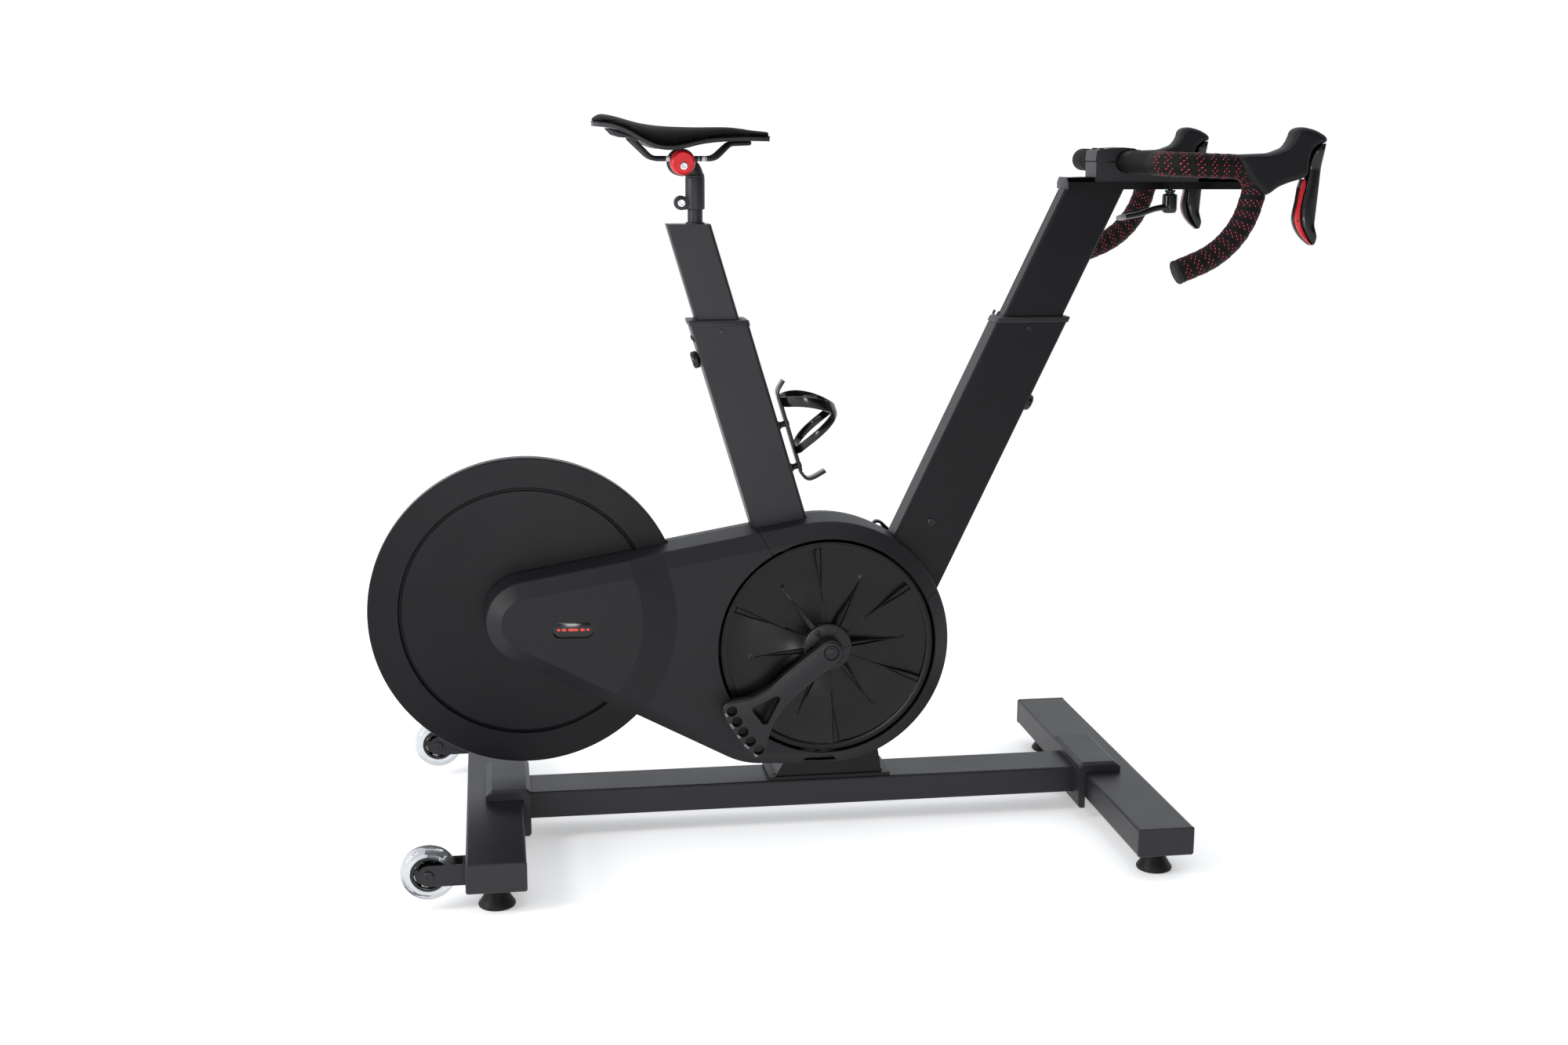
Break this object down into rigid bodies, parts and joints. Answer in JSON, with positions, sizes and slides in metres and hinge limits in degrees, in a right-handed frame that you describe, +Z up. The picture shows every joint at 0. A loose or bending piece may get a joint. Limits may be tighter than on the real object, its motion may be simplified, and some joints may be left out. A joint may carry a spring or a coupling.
{
  "type": "exercise bike",
  "caption": "Upright indoor exercise bike with a rear flywheel, covered belt drive, fan-ended cranks, slanted sliding masts, padded saddle and a drop handlebar with hoods and levers.",
  "frame": {"origin": "centre of the bounding box on the floor, close to under the crank axle", "axes": "+X towards the handlebar, +Y to the rider's left, +Z up"},
  "size_m": [1.306, 0.62, 1.041],
  "materials": {
    "frame_paint": "satin black powder coat",
    "flywheel_steel": "smooth satin black",
    "housing_plastic": "fine textured black",
    "trim_plastic": "satin dark grey",
    "foot_rubber": "matt black",
    "tyre_clear": "clear urethane",
    "hub_plastic": "satin black",
    "bright_steel": "turned",
    "dark_steel": "black oxide",
    "pulley_plastic": "moulded black",
    "crank_alloy": "black anodised",
    "rail_alloy": "gloss black",
    "red_anodised": "satin red anodised",
    "cage_gloss": "gloss black",
    "lever_gloss": "gloss black",
    "paddle_red": "gloss red",
    "saddle_cover": "matt black",
    "saddle_shell_plastic": "satin black",
    "bar_tape": "matt black wrap",
    "hood_rubber": "matt black",
    "belt_rubber": "matt black"
  },
  "bodies": {
    "frame": {"base_beam": "frame_paint", "rear_stabilizer": "frame_paint", "front_stabilizer": "frame_paint", "rear_joint_cover": "trim_plastic", "front_joint_cover": "trim_plastic", "rear_right_end_cap": "trim_plastic", "rear_left_end_cap": "trim_plastic", "front_right_end_cap": "trim_plastic", "front_left_end_cap": "trim_plastic", "wheel_bracket_right": "frame_paint", "wheel_bracket_left": "frame_paint", "main_frame": "frame_paint", "seat_tube": "frame_paint", "front_column": "frame_paint", "fork_arm_right": "frame_paint", "fork_arm_left": "frame_paint", "drive_cover_right": "housing_plastic", "drive_cover_left": "housing_plastic", "drive_belt": "belt_rubber", "bottom_bracket": "bright_steel", "seat_collar": "trim_plastic", "front_collar": "trim_plastic", "bottle_cage": "cage_gloss"},
    "wheel_right": {"wheel_tyre_right": "tyre_clear", "wheel_hub_right": "hub_plastic"},
    "wheel_left": {"wheel_tyre_left": "tyre_clear", "wheel_hub_left": "hub_plastic"},
    "flywheel_set": {"flywheel": "flywheel_steel", "flywheel_shaft": "bright_steel", "flywheel_pulley": "crank_alloy"},
    "crank_set": {"crank_spindle": "bright_steel", "drive_pulley": "pulley_plastic", "hub_plate": "crank_alloy", "crank_right": "crank_alloy", "crank_left": "crank_alloy"},
    "seat_knob": {"seat_knob": "dark_steel"},
    "column_knob": {"column_knob": "dark_steel"},
    "seat_mast": {"seat_mast": "frame_paint"},
    "saddle_head": {"saddle_head": "frame_paint"},
    "saddle_clamp": {"clamp_cheek_right": "red_anodised", "clamp_cheek_left": "red_anodised"},
    "saddle": {"saddle_rails": "dark_steel", "saddle_shell": "saddle_shell_plastic", "saddle_pad": "saddle_cover"},
    "front_mast": {"front_mast": "frame_paint", "handlebar_rail": "rail_alloy"},
    "carriage": {"bar_carriage": "crank_alloy", "stem_cap": "crank_alloy"},
    "lock_lever": {"lock_lever": "lever_gloss"},
    "bar": {"handlebar": "bar_tape", "hood_right": "hood_rubber", "hood_left": "hood_rubber"},
    "brake_right": {"brake_lever_right": "lever_gloss"},
    "brake_left": {"brake_lever_left": "lever_gloss"},
    "paddle_right": {"shift_paddle_right": "paddle_red"},
    "paddle_left": {"shift_paddle_left": "paddle_red"},
    "rear_right_foot": {"rear_right_foot": "foot_rubber"},
    "rear_left_foot": {"rear_left_foot": "foot_rubber"},
    "front_right_foot": {"front_right_foot": "foot_rubber"},
    "front_left_foot": {"front_left_foot": "foot_rubber"}
  },
  "joints": [
    {"name": "flywheel_spin", "type": "hinge", "parent": "frame", "child": "flywheel_set", "pos_m": [-0.43, 0, 0.338], "axis": [0, 1, 0], "continuous": true},
    {"name": "crank_spin", "type": "hinge", "parent": "frame", "child": "crank_set", "pos_m": [0, 0, 0.2865], "axis": [0, 1, 0], "continuous": true},
    {"name": "wheel_spin_right", "type": "hinge", "parent": "frame", "child": "wheel_right", "pos_m": [-0.5705, -0.2724, 0.0545], "axis": [0, 1, 0], "continuous": true},
    {"name": "wheel_spin_left", "type": "hinge", "parent": "frame", "child": "wheel_left", "pos_m": [-0.5705, 0.2724, 0.0545], "axis": [0, 1, 0], "continuous": true},
    {"name": "seat_height", "type": "slide", "parent": "frame", "child": "seat_mast", "axis": [-0.2882, 0, 0.9576], "range_m": [-0.11, 0.12]},
    {"name": "seat_knob_turn", "type": "hinge", "parent": "frame", "child": "seat_knob", "pos_m": [-0.17712, 0, 0.69997], "axis": [-0.9576, 0, -0.2882], "range_deg": [0, 360]},
    {"name": "head_swivel", "type": "hinge", "parent": "seat_mast", "child": "saddle_head", "pos_m": [-0.182, 0, 0.93], "axis": [0, 0, 1], "range_deg": [-20, 20]},
    {"name": "saddle_tilt", "type": "hinge", "parent": "saddle_head", "child": "saddle_clamp", "pos_m": [-0.2015, 0, 0.975], "axis": [0, 1, 0], "range_deg": [-10, 10]},
    {"name": "saddle_slide", "type": "slide", "parent": "saddle_clamp", "child": "saddle", "axis": [1, 0, 0], "range_m": [-0.015, 0.015]},
    {"name": "bar_height", "type": "slide", "parent": "frame", "child": "front_mast", "axis": [0.4258, 0, 0.9048], "range_m": [-0.13, 0.1]},
    {"name": "column_knob_turn", "type": "hinge", "parent": "frame", "child": "column_knob", "pos_m": [0.30226, 0, 0.63178], "axis": [0.9048, 0, -0.4258], "range_deg": [0, 360]},
    {"name": "bar_reach", "type": "slide", "parent": "front_mast", "child": "carriage", "axis": [1, 0, 0], "range_m": [0, 0.065]},
    {"name": "lock_lever_turn", "type": "hinge", "parent": "carriage", "child": "lock_lever", "pos_m": [0.513, 0, 0.918], "axis": [0, 0, 1], "range_deg": [0, 100]},
    {"name": "bar_roll", "type": "hinge", "parent": "carriage", "child": "bar", "pos_m": [0.437, 0, 0.977], "axis": [0, 1, 0], "range_deg": [-10, 10]},
    {"name": "brake_right_squeeze", "type": "hinge", "parent": "bar", "child": "brake_right", "pos_m": [0.632, -0.215, 0.985], "axis": [0, 1, 0], "range_deg": [0, 20], "stiffness_Nm_per_rad": 0.8, "springref_deg": -5.73},
    {"name": "paddle_right_push", "type": "hinge", "parent": "brake_right", "child": "paddle_right", "pos_m": [0.62, -0.215, 0.957], "axis": [1, 0, 0], "range_deg": [0, 12], "stiffness_Nm_per_rad": 0.3, "springref_deg": -5.73},
    {"name": "brake_left_squeeze", "type": "hinge", "parent": "bar", "child": "brake_left", "pos_m": [0.632, 0.215, 0.985], "axis": [0, 1, 0], "range_deg": [0, 20], "stiffness_Nm_per_rad": 0.8, "springref_deg": -5.73},
    {"name": "paddle_left_push", "type": "hinge", "parent": "brake_left", "child": "paddle_left", "pos_m": [0.62, 0.215, 0.957], "axis": [-1, 0, 0], "range_deg": [0, 12], "stiffness_Nm_per_rad": 0.3, "springref_deg": -5.73},
    {"name": "rear_right_foot_screw", "type": "slide", "parent": "frame", "child": "rear_right_foot", "axis": [0, 0, -1], "range_m": [0, 0.012]},
    {"name": "rear_left_foot_screw", "type": "slide", "parent": "frame", "child": "rear_left_foot", "axis": [0, 0, -1], "range_m": [0, 0.012]},
    {"name": "front_right_foot_screw", "type": "slide", "parent": "frame", "child": "front_right_foot", "axis": [0, 0, -1], "range_m": [0, 0.012]},
    {"name": "front_left_foot_screw", "type": "slide", "parent": "frame", "child": "front_left_foot", "axis": [0, 0, -1], "range_m": [0, 0.012]}
  ],
  "couplings": [
    {"joint": "crank_spin", "follows": "flywheel_spin", "ratio": 0.21333}
  ]
}
